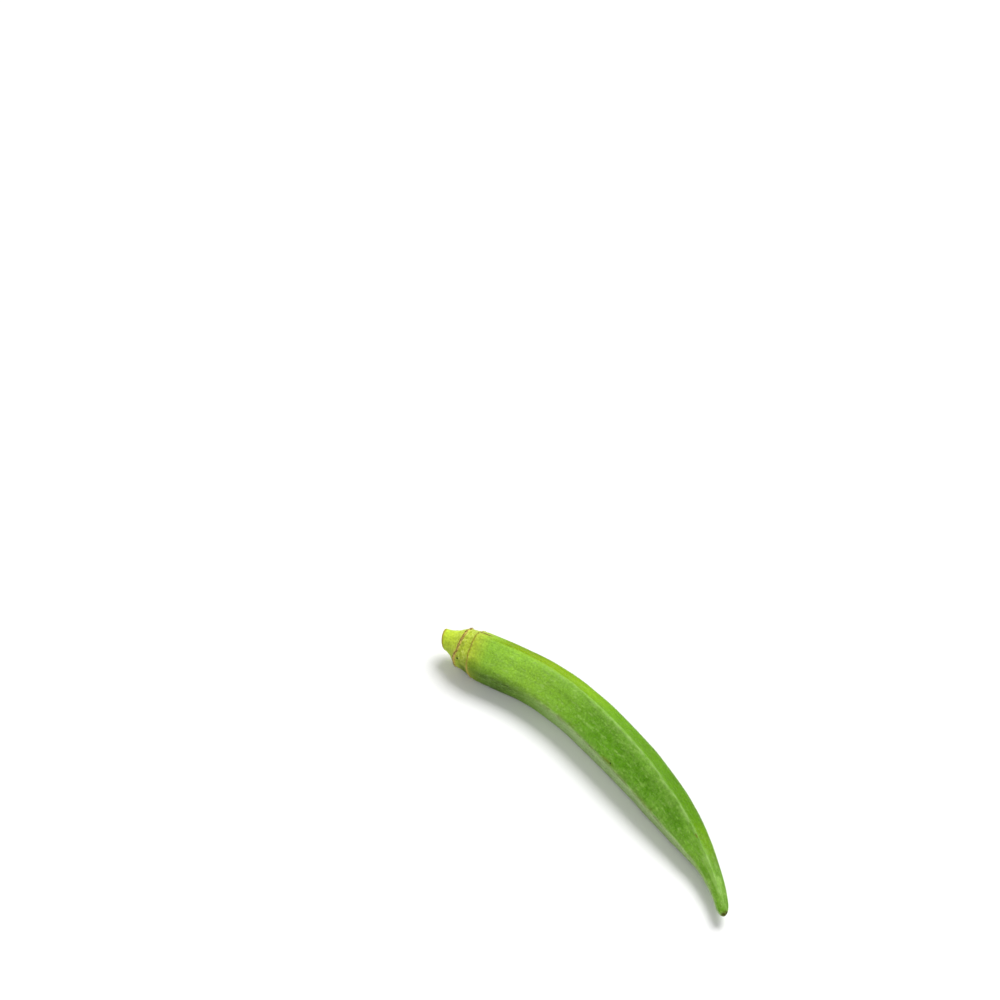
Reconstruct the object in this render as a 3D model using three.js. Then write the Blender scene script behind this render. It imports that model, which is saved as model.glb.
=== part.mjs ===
// An okra pod as picked, lying on its side: one grown body, so one solid.
//
// The capsule has five ridges with nearly flat faces between them, and tapers to a slender, blunt beak.
// At the other end it narrows at the two scar rings that the fallen flower left, and then hollows in to a
// short stub of stalk with a slanting flat cut. The pod bends along its length, mostly in plan.
//
// Millimetres, +Z up. +X runs from the stalk to the beak, z = 0 is the surface that the pod lies on, and
// the origin is the middle of its footprint there. Distances along the pod follow its spine from the cut.

import * as THREE from "three";

// Driving dimensions
const LENGTH = 145.5;
const RIDGES = 5;
const REST_HEIGHT = 7.25;
const END_ROUNDING = 3.8;
const RIB = { height: 0.17, halfWidthDeg: 3.2 };

// The raised rings. Each waves along the pod, by this much towards the beak at the ridges.
const CALYX_SCAR = { at: 7.3, height: 0.3, halfWidth: 0.5, wave: 0.05 };
const BRACT_SCAR = { at: 11.9, height: 0.15, halfWidth: 0.45, wave: 0.05 };

// Each table holds pairs of distance along the spine and value, with a smooth curve through them.
// Heading is the spine's direction in plan, in degrees.
const HEADING = [[0, 24], [20, 25], [40, 12], [60, 1.5], [80, -2.8], [100, -6.3], [120, -12.5], [145, -33]];

// Height of the spine over the middle stretch's height: the stalk lifts a little and the beak droops.
const LIFT = [[0, 1.3], [9, 0.8], [12, 0.5], [24, 0], [80, 0], [105, -0.9], [125, -1.8], [145, -2.4]];

// Radius out to the ridges.
const RADIUS = [
  [0, 3.5], [1.2, 3.7], [2.5, 4.15], [4.2, 5.0], [5.9, 6.3], [7.2, 6.85], [8.8, 7.15], [10.5, 7.6], [12.2, 8.3],
  [14, 8.6], [22, 8.8], [35, 8.85], [50, 9.0], [65, 9.05], [80, 8.8], [90, 8.35], [100, 7.7], [110, 6.5],
  [120, 4.8], [130, 3.15], [138, 2.4], [142, 2.05], [145, 1.9],
];

// How angular the section is: 0 is round and 1 has flat faces.
const ANGULARITY = [
  [0, 0.05], [7.2, 0.1], [10, 0.25], [12.2, 0.5], [16, 0.58], [26, 0.68], [45, 0.86], [80, 0.96], [110, 0.92],
  [130, 0.7], [140, 0.4], [145, 0],
];

// Degrees to each side over which a ridge is rounded off.
const RIDGE_ROUNDING = [[0, 14], [16, 12], [35, 9], [65, 4.5], [145, 4.5]];

// How far the top ridge leans from upright, in degrees, towards the outer side of the bend.
const LEAN = [[0, 5.5], [35, 4.7], [75, 7], [100, 6], [115, 4.5], [123, 2], [132, -2], [145, -0.5]];

// The ridges are not quite evenly spaced: they turn by up to this much, most at this angle on the inner side.
const UNEVEN = { turnDeg: 5, atDeg: 18 };

// Slope of each section's plane, which drops back towards the stalk at this angle past the inner side.
const SLANT = [[0, 0.33], [6, 0], [12, 0.08], [22, 0]];
const SLANT_TOWARDS_DEG = 120;

// Mesh steps: angles past a ridge, the spacing of the sections up to each distance, and the angles of the
// last sections on the round end.
const FACE_STEPS_DEG = [0, 3, 7, 14, 24, 36, 48, 58, 65, 69];
const SECTION_STEPS = [[5, 0.8], [15, 0.45], [123, 3], [LENGTH - END_ROUNDING, 1.6]];
const END_STEPS_DEG = [18, 36, 54, 72];

const FACE_DEG = 360 / RIDGES;
const radians = THREE.MathUtils.degToRad;

// Slopes at a table's points that keep the curve through them free of overshoot.
function slopesOf(table) {
  const step = table.slice(1).map(([s, v], i) => (v - table[i][1]) / (s - table[i][0]));
  return table.map((_, i) => {
    const before = step[Math.max(i - 1, 0)];
    const after = step[Math.min(i, step.length - 1)];
    return before * after > 0 ? (2 * before * after) / (before + after) : 0;
  });
}

// The value of a table at distance s, by a cubic between its points.
function along(table, s) {
  const slopes = slopesOf(table);
  const last = table.length - 1;
  if (s >= table[last][0]) return table[last][1];
  const i = table.findIndex(([next]) => next > s) - 1;
  const [s0, v0] = table[i];
  const [s1, v1] = table[i + 1];
  const gap = s1 - s0;
  const t = (s - s0) / gap;
  return (
    v0 * (1 + 2 * t) * (1 - t) ** 2 +
    v1 * t * t * (3 - 2 * t) +
    gap * t * (1 - t) * (slopes[i] * (1 - t) - slopes[i + 1] * t)
  );
}

const bell = (x, halfWidth) => Math.exp(-((x / halfWidth) ** 2));

// Height of a scar ring at distance s, at an angle from the nearest ridge.
function scarHeight(scar, s, fromRidge) {
  const wave = scar.wave * Math.cos(radians(fromRidge * RIDGES));
  return scar.height * bell(s - scar.at - wave, scar.halfWidth);
}

// How the beak's end closes: 1 up to its last stretch, and then a quarter of an ellipse.
function endRounding(s) {
  const past = Math.max(s - (LENGTH - END_ROUNDING), 0) / END_ROUNDING;
  return Math.sqrt(1 - past ** 2);
}

// Radius of the section at distance s, at an angle past a ridge of 0 to one face's width.
function sectionRadius(s, pastRidgeDeg) {
  const half = FACE_DEG / 2;
  const fromRidge = half - Math.abs(pastRidgeDeg - half);
  const rounding = along(RIDGE_ROUNDING, s);
  const rounded = Math.hypot(fromRidge, rounding) - rounding;
  const flatFace = Math.cos(radians(half)) / Math.cos(radians(half - rounded));
  const angularity = along(ANGULARITY, s);
  const rib = RIB.height * angularity * bell(fromRidge, RIB.halfWidthDeg);
  const skin = along(RADIUS, s) * (1 - angularity * (1 - flatFace)) + rib;
  return skin * endRounding(s) + scarHeight(CALYX_SCAR, s, fromRidge) + scarHeight(BRACT_SCAR, s, fromRidge);
}

// The distances of the sections, close together where the outline turns fast.
function sectionDistances() {
  const distances = [0];
  for (const [end, step] of SECTION_STEPS) {
    const from = distances[distances.length - 1];
    const count = Math.ceil((end - from) / step);
    for (let i = 1; i <= count; i++) distances.push(from + ((end - from) * i) / count);
  }
  for (const angle of END_STEPS_DEG) distances.push(LENGTH - END_ROUNDING * (1 - Math.sin(radians(angle))));
  return distances;
}

// The spine's point and heading at each distance, summed in short straight steps.
function spineAt(distances) {
  const STEP = 0.1;
  const point = new THREE.Vector2();
  let s = 0;
  return distances.map((target) => {
    while (s < target) {
      const ds = Math.min(STEP, target - s);
      const heading = radians(along(HEADING, s + ds / 2));
      point.add(new THREE.Vector2(Math.cos(heading), Math.sin(heading)).multiplyScalar(ds));
      s += ds;
    }
    return { s: target, x: point.x, y: point.y, heading: radians(along(HEADING, target)) };
  });
}

// One section's points, clockwise seen from the beak, starting at the top ridge.
function sectionPoints({ s, x, y, heading }) {
  const height = REST_HEIGHT + along(LIFT, s);
  const ahead = [Math.cos(heading), Math.sin(heading)];
  const points = [];
  for (let face = 0; face < RIDGES; face++) {
    for (const pastRidge of FACE_STEPS_DEG) {
      const even = 90 + along(LEAN, s) - face * FACE_DEG - pastRidge;
      const angle = radians(even - UNEVEN.turnDeg * Math.cos(radians(even - UNEVEN.atDeg)));
      const radius = sectionRadius(s, pastRidge);
      const side = radius * Math.cos(angle);
      const shift = -along(SLANT, s) * radius * Math.cos(angle - radians(SLANT_TOWARDS_DEG));
      points.push([
        x + side * ahead[1] + shift * ahead[0],
        y - side * ahead[0] + shift * ahead[1],
        height + radius * Math.sin(angle),
      ]);
    }
  }
  return points;
}

// The closed skin: sections joined by bands of triangles, with a fan over the cut and one over the tip.
function podGeometry() {
  const spine = spineAt([...sectionDistances(), LENGTH]);
  const tip = spine.pop();
  const around = RIDGES * FACE_STEPS_DEG.length;
  const vertices = spine.flatMap(sectionPoints);
  const triangles = [];
  for (let ring = 0; ring + 1 < spine.length; ring++) {
    for (let i = 0; i < around; i++) {
      const here = ring * around + i;
      const next = ring * around + ((i + 1) % around);
      triangles.push(here, next, here + around, next, next + around, here + around);
    }
  }
  const cutCentre = vertices.length;
  vertices.push([spine[0].x, spine[0].y, REST_HEIGHT + along(LIFT, 0)]);
  const tipPoint = vertices.length;
  vertices.push([tip.x, tip.y, REST_HEIGHT + along(LIFT, LENGTH)]);
  const lastRing = (spine.length - 1) * around;
  for (let i = 0; i < around; i++) {
    const next = (i + 1) % around;
    triangles.push(cutCentre, next, i, tipPoint, lastRing + i, lastRing + next);
  }

  const geometry = new THREE.BufferGeometry();
  geometry.setAttribute("position", new THREE.Float32BufferAttribute(vertices.flat(), 3));
  geometry.setIndex(triangles);
  geometry.rotateZ(-Math.atan2(tip.y, tip.x));
  settle(geometry);
  return geometry;
}

// Flattens the skin where it presses on the surface, and centres its footprint on the origin.
function settle(geometry) {
  const position = geometry.getAttribute("position");
  for (let i = 0; i < position.count; i++) position.setZ(i, Math.max(position.getZ(i), 0));
  geometry.computeBoundingBox();
  const centre = geometry.boundingBox.getCenter(new THREE.Vector3());
  geometry.translate(-centre.x, -centre.y, 0);
  geometry.computeVertexNormals();
}

const skin = new THREE.MeshStandardMaterial({ color: 0x6b9e2c, roughness: 0.6, metalness: 0 });
const pod = new THREE.Mesh(podGeometry(), skin);
pod.name = "okra_pod";

const okra = new THREE.Group();
okra.add(pod);

export default okra;
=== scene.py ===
import math

import bpy
from bpy.props import FloatProperty, FloatVectorProperty, IntProperty, PointerProperty
from mathutils import Matrix, Vector


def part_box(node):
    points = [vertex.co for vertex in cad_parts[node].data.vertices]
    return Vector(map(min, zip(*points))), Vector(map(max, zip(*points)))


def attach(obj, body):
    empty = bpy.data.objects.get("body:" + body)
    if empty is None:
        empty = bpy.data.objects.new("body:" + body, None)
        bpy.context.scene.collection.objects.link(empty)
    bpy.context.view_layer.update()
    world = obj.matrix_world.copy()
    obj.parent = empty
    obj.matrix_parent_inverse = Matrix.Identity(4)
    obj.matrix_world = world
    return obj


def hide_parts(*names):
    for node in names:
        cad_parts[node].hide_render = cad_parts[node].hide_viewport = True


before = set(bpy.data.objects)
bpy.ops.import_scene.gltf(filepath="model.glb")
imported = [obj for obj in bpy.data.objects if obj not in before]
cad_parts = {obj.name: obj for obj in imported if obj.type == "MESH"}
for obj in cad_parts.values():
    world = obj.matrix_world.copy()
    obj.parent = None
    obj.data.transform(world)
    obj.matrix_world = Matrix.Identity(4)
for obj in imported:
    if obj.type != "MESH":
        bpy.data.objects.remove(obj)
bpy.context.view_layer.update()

bl_info = {
    "name": "Okra Pod",
    "version": (1, 0, 0),
    "blender": (4, 5, 0),
    "location": "3D View > Sidebar > Okra",
    "description": "Grows the skin, down and scar fibres of an okra pod round its solid",
    "category": "Object",
}

NODE = "okra_pod"
BODY = "root"
MM = 0.001

# The pod's form, in millimetres and degrees along its spine from the cut, as in the part's source.
LENGTH = 145.5
RIDGES = 5
FACE_DEG = 360 / RIDGES
REST_HEIGHT = 7.25
END_ROUNDING = 3.8
RIB_HALF_WIDTH_DEG = 3.2
UNEVEN_DEG = 5
UNEVEN_AT_DEG = 18
CALYX_AT = 7.3
CALYX_WAVE = 0.05
BRACT_AT = 11.9
BRACT_WAVE = 0.05
SLANT_TOWARDS_DEG = 120
HEADING = [(0, 24), (20, 25), (40, 12), (60, 1.5), (80, -2.8), (100, -6.3), (120, -12.5), (145, -33)]
LIFT = [(0, 1.3), (9, 0.8), (12, 0.5), (24, 0), (80, 0), (105, -0.9), (125, -1.8), (145, -2.4)]
RADIUS = [
    (0, 3.5), (1.2, 3.7), (2.5, 4.15), (4.2, 5.0), (5.9, 6.3), (7.2, 6.85), (8.8, 7.15), (10.5, 7.6),
    (12.2, 8.3), (14, 8.6), (22, 8.8), (35, 8.85), (50, 9.0), (65, 9.05), (80, 8.8), (90, 8.35), (100, 7.7),
    (110, 6.5), (120, 4.8), (130, 3.15), (138, 2.4), (142, 2.05), (145, 1.9),
]
ANGULARITY = [
    (0, 0.05), (7.2, 0.1), (10, 0.25), (12.2, 0.5), (16, 0.58), (26, 0.68), (45, 0.86), (80, 0.96),
    (110, 0.92), (130, 0.7), (140, 0.4), (145, 0),
]
RIDGE_ROUNDING = [(0, 14), (16, 12), (35, 9), (65, 4.5), (145, 4.5)]
LEAN = [(0, 5.5), (35, 4.7), (75, 7), (100, 6), (115, 4.5), (123, 2), (132, -2), (145, -0.5)]
SLANT = [(0, 0.33), (6, 0), (12, 0.08), (22, 0)]

# Rows of the skin: shares of the radius across the cut, then a spacing up to each distance, and angles on
# the round end.
CUT_SHARES = [0, 0.15, 0.3, 0.44, 0.57, 0.69, 0.79, 0.87, 0.93, 0.97]
ROW_STEPS = [(0.3, 0.1), (5, 0.3), (15, 0.14), (LENGTH - END_ROUNDING, 0.5)]
END_ANGLES_DEG = range(10, 90, 10)
COLUMNS_PER_FACE = 48
COLUMN_CROWDING = 0.5
CUT_HOLLOW = 0.35

# The rings, in millimetres: how wide each is from its crest, how far it wanders along the pod, and how far
# the sepals' ring dips towards the cut on the pod's lower half. The least height is a share of the set one.
CALYX_HALF_WIDTH = 0.38
CALYX_WANDER = 1.3
CALYX_DROOP = 0.8
BRACT_HALF_WIDTH = 0.32
BRACT_WANDER = 1.0
LEAST_HEIGHT = 0.55

# The beak's waves: their length in millimetres, and how far round from a ridge they reach.
WAVE_LENGTH = 4.5
WAVE_HALF_WIDTH_DEG = 15

# The settings that the skin's tree takes as inputs.
RELIEF_SIZES = (
    "rib_height", "calyx_height", "bract_height", "streak_depth", "lump_depth", "wrinkle_depth",
    "wave_depth",
)

# Stretches along the pod, in millimetres from the cut: where each starts, is full, starts to fade out and
# has ended.
WRINKLES = (1, 5, 11.5, 13.5)
WAVES = (104, 118, 128, 140)
BODY_START = (12, 24)
SUNNY = (*BODY_START, 114, 132)
RIDGE_SHEEN = (20, 50, 104, 122)
RIDGE_LINES = (32, 54, 136, 143)

# Noise on the skin: features per millimetre along the pod and round it, detail, roughness and seed.
PATTERNS = {
    "wobble": (0.45, 0.45, 3.0, 0.5, 1.0),
    "torn": (1.3, 1.3, 4.0, 0.5, 2.0),
    "rills": (0.05, 0.9, 2.0, 0.5, 3.0),
    "lumps": (0.09, 0.09, 1.0, 0.5, 4.0),
    "wrinkles": (1.6, 0.5, 3.0, 0.5, 5.0),
    "clouds": (0.5, 0.5, 4.0, 0.6, 10.0),
    "patches": (0.12, 0.12, 3.0, 0.5, 11.0),
    "streaks": (0.05, 0.75, 4.0, 0.6, 12.0),
    "grain": (1.5, 1.5, 3.0, 0.65, 13.0),
    "broken": (0.25, 0.6, 3.0, 0.5, 14.0),
    "flecks": (0.9, 0.7, 4.0, 0.5, 15.0),
    "ragged": (2.5, 2.5, 2.0, 0.5, 16.0),
    "fine": (2.6, 2.6, 3.0, 0.6, 17.0),
    "specks": (1.2, 1.2, 3.0, 0.6, 18.0),
    "narrow": (0.05, 1.1, 2.0, 0.5, 19.0),
    "weave": (0.3, 0.3, 2.0, 0.5, 20.0),
    "bristles": (1.5, 1.5, 2.0, 0.5, 21.0),
    "veins": (0.8, 0.3, 3.0, 0.6, 22.0),
    "long_specks": (0.4, 1.1, 3.0, 0.6, 23.0),
}

# The least distance from the spine that the paint counts with, in millimetres.
LEAST_REACH = 0.1

# The skin's ground tones: the distance of each in millimetres from the cut, and its name.
GROUND = [
    (0, "stalk"), (5.5, "stalk"), (8.5, "cap"), (12.5, "cap"), (18, "shoulder"), (36, "shoulder"),
    (66, "body"), (96, "deep"), (112, "deep"), (124, "beak"), (145, "beak"),
]

# How much of a layer's tone shows where the layer is full. A layer that isn't named here covers in full.
COVER = {
    "low_bloom": 0.85, "bloom": 0.36, "speck": 0.42, "vein": 0.4, "pale_streak": 0.6, "dark_streak": 0.6,
    "ridge": 0.42, "blotch": 0.5, "pale_cap": 0.6, "scar": 0.9, "bract": 0.9,
}

# How much painted shade darkens the outer side where the body starts, further on and on the beak, and how
# the painted light on it changes red, green and blue, first all along it and then where it turns lime.
SHOULDER_SHADE = 0.36
BODY_SHADE = 0.05
BEAK_SHADE = 0.26
SUNNY_TINT = (0.1, 0.0, -0.9)
LIME_TINT = (0.14, 0.1, 0.0)

# Paint by the ridges, in millimetres: where their painted sheen is full and ends, and how far a line
# reaches.
RIDGE_SHEEN_REACH = (0.3, 3.6)
LINE_REACH = 1.1

# Paint on the rings, in millimetres: half widths, and how far each dark edge lies past the ring's crest.
SCAR_HALF_WIDTH = 0.52
BODY_EDGE = (0.42, 0.13)
STALK_EDGE = (-0.2, 0.22)
STALK_EDGE_WANDER = 1.5
BRACT_LINE_HALF_WIDTH = 0.22
BRACT_LINE_WIDENS = 0.14

# The dark tip's start and full depth before the end, and the rim's stretch from the cut, in millimetres.
TIP_DARKENS = (1.2, 0.3)
RIM = (0.2, 0.9)

# Marks on the skin: distance along the pod and angle round it, length and width in millimetres.
OLIVE = (0.11, 0.13, 0.01)
MOSS = (0.08, 0.2, 0.005)
BROWN = (0.15, 0.08, 0.01)
NEARLY_BLACK = (0.01, 0.018, 0.004)
RUSSET = (0.16, 0.13, 0.05)
MARKS = [
    {"at": (13.9, 117), "size": (5.4, 1.4), "strength": 0.95, "colour": BROWN},
    {"at": (8.0, 16), "size": (0.8, 0.8), "strength": 0.95, "colour": NEARLY_BLACK},
    {"at": (14.2, 22), "size": (4.0, 5.0), "strength": 0.4, "colour": MOSS},
    {"at": (8.6, 60), "size": (1.6, 1.4), "strength": 0.4, "colour": OLIVE},
    {"at": (78, 25), "size": (6.0, 0.6), "strength": 0.35, "colour": BROWN},
    {"at": (80, 26), "size": (0.7, 0.5), "strength": 0.9, "colour": NEARLY_BLACK},
    {"at": (115.7, -10), "size": (2.4, 1.0), "strength": 0.5, "colour": RUSSET},
    {"at": (118.5, 91), "size": (1.8, 0.6), "strength": 0.5, "colour": BROWN},
]

# Bristles are three-sided spikes, whose lengths vary between these shares of the set length.
BRISTLE_SIDES = 3
BRISTLE_LENGTHS = (0.45, 1.3)

# Where the down grows, in millimetres. It keeps off the surface below, the sepals' ring and the tip. Fuller
# down starts at one distance from the cut, and the thickest, on the ridges, at another.
DOWN_OFF_FLOOR = 0.9
DOWN_OFF_RING = 0.5
DOWN_OFF_TIP = 1.6
DOWN_BODY_FROM = 18
DOWN_RIDGES_FROM = 40
DOWN_RIDGE_HALF_WIDTH = 0.6
DOWN_OUTER_FROM = 0.3

# How far up the skin faces there, where 1 is straight up, and shares of the down's set density.
OUTER_SIDE_UP = (0.4, 0.85)
LOWER_SIDE_UP = 0.35
DOWN_SHARES = {"cap": 0.15, "outer side": 0.12, "faces": 0.5, "ridges and lower side": 1.2}

# Where fibres grow, in millimetres: off the surface below, and near each ring's crest.
FIBRES_OFF_FLOOR = 1.2
CALYX_FIBRES_WITHIN = 0.3
BRACT_FIBRES_WITHIN = 0.16
BRACT_FIBRE_SHARE = 0.45

# Where the camera stands: it sees the pod's origin at a pixel of the 1000 x 1000 frame.
FRAME_PIXELS = 1000
ORIGIN_PIXEL = (601, 765.8)
SENSOR_WIDTH = 36

# Softboxes: name, place and size in metres, and power in watts.
LIGHTS = [
    ("key", (-0.1, 0.65, 1.2), 0.8, 19.0),
    ("fill", (0.9, -0.7, 0.8), 1.0, 4.0),
]

# The floor: half its width in metres, and its gap under the pod in millimetres.
FLOOR_HALF = 3.0
FLOOR_GAP = 0.02


def slopes_of(table):
    """Slopes at a table's points that keep the curve through them free of overshoot."""
    steps = [(b[1] - a[1]) / (b[0] - a[0]) for a, b in zip(table, table[1:])]
    slopes = []
    for before, after in zip([steps[0], *steps], [*steps, steps[-1]]):
        slopes.append(2 * before * after / (before + after) if before * after > 0 else 0)
    return slopes


def along(table, s):
    """The value of a table at distance s, by a cubic between its points."""
    if s >= table[-1][0]:
        return table[-1][1]
    slopes = slopes_of(table)
    i = next(k for k, (distance, _) in enumerate(table) if distance > s) - 1
    (s0, v0), (s1, v1) = table[i], table[i + 1]
    gap = s1 - s0
    t = (s - s0) / gap
    bow = gap * t * (1 - t) * (slopes[i] * (1 - t) - slopes[i + 1] * t)
    return v0 * (1 + 2 * t) * (1 - t) ** 2 + v1 * t * t * (3 - 2 * t) + bow


def skin_rows():
    """Pairs of distance along the spine and share of the radius, from the cut's middle to the tip."""
    rows = [(0.0, share) for share in CUT_SHARES] + [(0.0, 1.0)]
    for end, step in ROW_STEPS:
        start = rows[-1][0]
        count = math.ceil((end - start) / step)
        rows += [(start + (end - start) * k / count, 1.0) for k in range(1, count + 1)]
    for angle in END_ANGLES_DEG:
        turned = math.radians(angle)
        rows.append((LENGTH - END_ROUNDING * (1 - math.sin(turned)), math.cos(turned)))
    return [*rows, (LENGTH, 0.0)]


def spine_points(distances):
    """The spine's points in plan at rising distances, with the tip straight ahead of the cut along +X."""
    points = []
    x = y = s = 0.0
    step = 0.1
    for target in distances:
        while s < target:
            ds = min(step, target - s)
            heading = math.radians(along(HEADING, s + ds / 2))
            x += math.cos(heading) * ds
            y += math.sin(heading) * ds
            s += ds
        points.append(Vector((x, y, 0)))
    turned = -math.atan2(y, x)
    return [Matrix.Rotation(turned, 3, "Z") @ p for p in points], turned


def spine_mesh():
    """The spine as loose points, one for each row of the skin, with the row's values as attributes."""
    rows = skin_rows()
    points, turned = spine_points([s for s, _ in rows])
    for (s, _), point in zip(rows, points):
        point.z = REST_HEIGHT + along(LIFT, s)
    mesh = bpy.data.meshes.new("spine")
    mesh.from_pydata([p * MM for p in points], [], [])
    values = {
        "row_distance": [s * MM for s, _ in rows],
        "row_share": [share for _, share in rows],
        "row_radius": [along(RADIUS, s) * MM for s, _ in rows],
        "row_angularity": [along(ANGULARITY, s) for s, _ in rows],
        "row_heading": [math.radians(along(HEADING, s)) + turned for s, _ in rows],
        "row_rounding": [along(RIDGE_ROUNDING, s) for s, _ in rows],
        "row_lean": [math.radians(along(LEAN, s)) for s, _ in rows],
        "row_slant": [along(SLANT, s) for s, _ in rows],
        "row_hollow": [(1 - share ** 2) * CUT_HOLLOW * MM * (s == 0) for s, share in rows],
    }
    for name, column in values.items():
        mesh.attributes.new(name, "FLOAT", "POINT").data.foreach_set("value", column)
    return mesh


class Wire:
    """A socket whose operators add Math nodes to its tree, so that node maths reads as Python."""

    def __init__(self, nodes, socket):
        self.nodes = nodes
        self.socket = socket

    def math(self, operation, *others):
        values = dict(enumerate((self, *others)))
        return self.nodes.add("ShaderNodeMath", {"operation": operation}, values)

    def __add__(self, other):
        return self.math("ADD", other)

    __radd__ = __add__

    def __mul__(self, other):
        return self.math("MULTIPLY", other)

    __rmul__ = __mul__

    def __sub__(self, other):
        return self.math("SUBTRACT", other)

    def __rsub__(self, other):
        return self.nodes.number(other) - self

    def __truediv__(self, other):
        return self.math("DIVIDE", other)

    def __rtruediv__(self, other):
        return self.nodes.number(other) / self

    def __neg__(self):
        return self * -1

    def __abs__(self):
        return self.math("ABSOLUTE")

    def sin(self):
        return self.math("SINE")

    def cos(self):
        return self.math("COSINE")

    def sqrt(self):
        return self.math("SQRT")

    def exp(self):
        return self.math("EXPONENT")

    def floor(self):
        return self.math("FLOOR")

    def largest(self, other):
        return self.math("MAXIMUM", other)

    def smallest(self, other):
        return self.math("MINIMUM", other)

    def bell(self, half_width):
        """1 where this is 0, falling off to both sides."""
        scaled = self / half_width
        return (-(scaled * scaled)).exp()

    def fade(self, start, end):
        """0 where this is at start or before it, 1 at end or past it, and smooth between."""
        inputs = {"Value": self, "From Min": start, "From Max": end}
        return self.nodes.add("ShaderNodeMapRange", {"interpolation_type": "SMOOTHSTEP"}, inputs)

    def within(self, start, full, ebb, end):
        """0 up to the start and past the end, and 1 from full to ebb, all in millimetres."""
        return self.fade(start * MM, full * MM) * self.fade(end * MM, ebb * MM)


class Nodes:
    """A node tree that is being built."""

    def __init__(self, tree):
        self.tree = tree

    def add(self, kind, settings=None, inputs=None, output=0):
        """Adds a node of that type: its settings first, then its sockets' values or links."""
        node = self.tree.nodes.new(kind)
        for name, value in (settings or {}).items():
            if name == "stops":
                self.set_stops(node.color_ramp, value)
            else:
                setattr(node, name, value)
        for key, value in (inputs or {}).items():
            socket = self.find(node.inputs, key)
            if isinstance(value, Wire):
                self.tree.links.new(value.socket, socket)
            else:
                socket.default_value = value
        return Wire(self, self.find(node.outputs, output)) if len(node.outputs) else node

    def find(self, sockets, key):
        """The socket with that number, or the first one in use with that name."""
        if isinstance(key, int):
            return sockets[key]
        return next(s for s in sockets if s.enabled and s.name == key)

    def set_stops(self, ramp, stops):
        """Sets a colour ramp's stops from pairs of place and colour."""
        for place, colour in stops[1:-1]:
            ramp.elements.new(place).color = (*colour, 1)
        for element, (place, colour) in ((ramp.elements[0], stops[0]), (ramp.elements[-1], stops[-1])):
            element.position = place
            element.color = (*colour, 1)

    def sibling(self, wire, output):
        """Another output of the node that a wire comes from."""
        return Wire(self, self.find(wire.socket.node.outputs, output))

    def number(self, value):
        wire = self.add("ShaderNodeValue")
        wire.socket.default_value = value
        return wire

    def vector(self, x, y, z):
        return self.add("ShaderNodeCombineXYZ", None, {0: x, 1: y, 2: z})

    def split(self, vector):
        """A vector's three numbers."""
        x = self.add("ShaderNodeSeparateXYZ", None, {0: vector})
        return x, self.sibling(x, "Y"), self.sibling(x, "Z")

    def vectors(self, operation, *values):
        return self.add("ShaderNodeVectorMath", {"operation": operation}, dict(enumerate(values)))

    def scaled(self, vector, factor):
        return self.add("ShaderNodeVectorMath", {"operation": "SCALE"}, {"Vector": vector, "Scale": factor})

    def noise(self, vector, detail, roughness, seed):
        """Noise from 0 to 1, with features about one unit of the vector across."""
        inputs = {"Vector": vector, "W": seed, "Scale": 1.0, "Detail": detail, "Roughness": roughness}
        return self.add("ShaderNodeTexNoise", {"noise_dimensions": "4D"}, inputs)

    def pattern(self, name, place):
        """One of the noise patterns, laid on a place whose first number runs along the pod."""
        lengthwise, crosswise, *settings = PATTERNS[name]
        scale = (lengthwise / MM, crosswise / MM, crosswise / MM)
        return self.noise(self.vectors("MULTIPLY", place, scale), *settings)

    def swing(self, name, place, amount):
        """A pattern that swings about 0, over a range as wide as the amount."""
        return (self.pattern(name, place) - 0.5) * amount

    def mixed(self, factor, a, b):
        """Colour a turning into colour b as the factor goes from 0 to 1."""
        a, b = ((*c, 1) if isinstance(c, (tuple, list)) else c for c in (a, b))
        inputs = {"Factor": factor, "A": a, "B": b}
        return self.add("ShaderNodeMix", {"data_type": "RGBA"}, inputs, output="Result")


def input_name(key):
    """A socket's name as it is shown: bract_height is Bract Height."""
    return key.replace("_", " ").title()


class GeometryNodes(Nodes):
    """A geometry node tree that is being built, with its named inputs."""

    def __init__(self, name, **sockets):
        super().__init__(bpy.data.node_groups.new(name, "GeometryNodeTree"))
        interface = self.tree.interface
        interface.new_socket("Geometry", in_out="INPUT", socket_type="NodeSocketGeometry")
        interface.new_socket("Geometry", in_out="OUTPUT", socket_type="NodeSocketGeometry")
        for key, kind in sockets.items():
            interface.new_socket(input_name(key), in_out="INPUT", socket_type="NodeSocket" + kind)
        self.inputs = self.tree.nodes.new("NodeGroupInput")

    def input(self, key):
        return Wire(self, self.find(self.inputs.outputs, input_name(key)))

    def attribute(self, name, kind="FLOAT"):
        settings = {"data_type": kind}
        return self.add("GeometryNodeInputNamedAttribute", settings, {"Name": name}, output="Attribute")

    def sample(self, geometry, value, index, kind="FLOAT"):
        """The value that point number index of a geometry has."""
        inputs = {"Geometry": geometry, "Value": value, "Index": index}
        return self.add("GeometryNodeSampleIndex", {"data_type": kind}, inputs)

    def store(self, geometry, name, value, kind="FLOAT"):
        inputs = {"Geometry": geometry, "Name": name, "Value": value}
        return self.add("GeometryNodeStoreNamedAttribute", {"data_type": kind}, inputs)

    def random(self, low, high, seed):
        """A random number for each element, between low and high."""
        inputs = {"Min": low, "Max": high, "Seed": seed}
        return self.add("FunctionNodeRandomValue", {"data_type": "FLOAT"}, inputs, output="Value")

    def end(self, geometry, material):
        """Realizes the instances, gives the result its material and closes the tree."""
        real = self.add("GeometryNodeRealizeInstances", None, {"Geometry": geometry})
        finished = self.add("GeometryNodeSetMaterial", None, {"Geometry": real, "Material": material})
        out = self.tree.nodes.new("NodeGroupOutput")
        self.tree.links.new(finished.socket, out.inputs[0])
        return self.tree


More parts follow.
